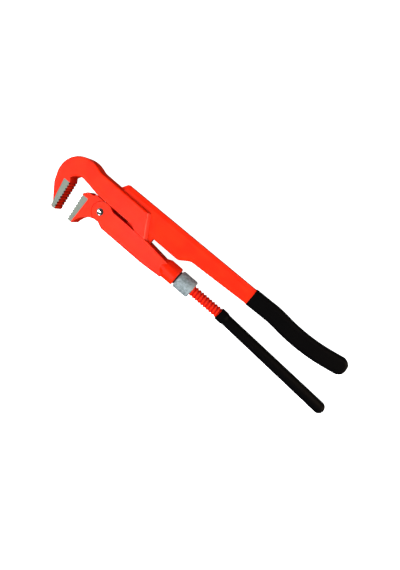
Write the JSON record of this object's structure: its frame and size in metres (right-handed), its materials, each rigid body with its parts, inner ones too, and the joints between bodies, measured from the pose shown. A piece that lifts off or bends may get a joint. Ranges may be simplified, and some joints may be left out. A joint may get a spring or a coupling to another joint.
{
  "type": "two-handled pipe wrench",
  "caption": "Two-handled pipe wrench with right-angled toothed jaws: a round nut on a threaded rod slides the lower jaw, and squeezing the handles grips the pipe.",
  "frame": {"origin": "axis of the gripped pipe, midway between the two toothed faces and on the middle plane of the wrench", "axes": "+X from the jaws towards the handle ends, +Y towards the upper leg, +Z along the gripped pipe"},
  "size_m": [0.4177, 0.0896, 0.0234],
  "materials": {
    "leg_paint": "glossy orange-red paint over forged steel",
    "rod_paint": "glossy orange-red paint over the rolled thread",
    "grip_rubber": "black dipped coating, low sheen",
    "pin_steel": "bright steel",
    "nut_zinc": "zinc-plated steel, knurled"
  },
  "bodies": {
    "hook_leg": {"hook_leg": "leg_paint", "upper_grip": "grip_rubber"},
    "lower_leg": {"threaded_rod": "rod_paint", "leg_hinge_pin": "pin_steel", "lower_grip": "grip_rubber"},
    "jaw_carrier": {"jaw_carrier": "leg_paint", "jaw_pin": "pin_steel"},
    "lower_jaw": {"lower_jaw": "leg_paint"},
    "adjusting_nut": {"adjusting_nut": "nut_zinc"}
  },
  "joints": [
    {"name": "leg_swing", "type": "hinge", "parent": "hook_leg", "child": "lower_leg", "pos_m": [0.09845, 0.0105, 0], "axis": [0, 0, 1], "range_deg": [0, 5]},
    {"name": "jaw_travel", "type": "slide", "parent": "lower_leg", "child": "jaw_carrier", "axis": [1, 0, 0], "range_m": [-0.018, 0.0325]},
    {"name": "jaw_rock", "type": "hinge", "parent": "jaw_carrier", "child": "lower_jaw", "pos_m": [0.03745, 0.0117, 0], "axis": [0, 0, 1], "range_deg": [-2, 3]},
    {"name": "nut_turn", "type": "hinge", "parent": "jaw_carrier", "child": "adjusting_nut", "pos_m": [0.167, 0.0105, 0], "axis": [1, 0, 0], "range_deg": [-1543, 2786]}
  ],
  "couplings": [
    {"joint": "nut_turn", "follows": "jaw_travel", "rad_per_m": 1496}
  ]
}
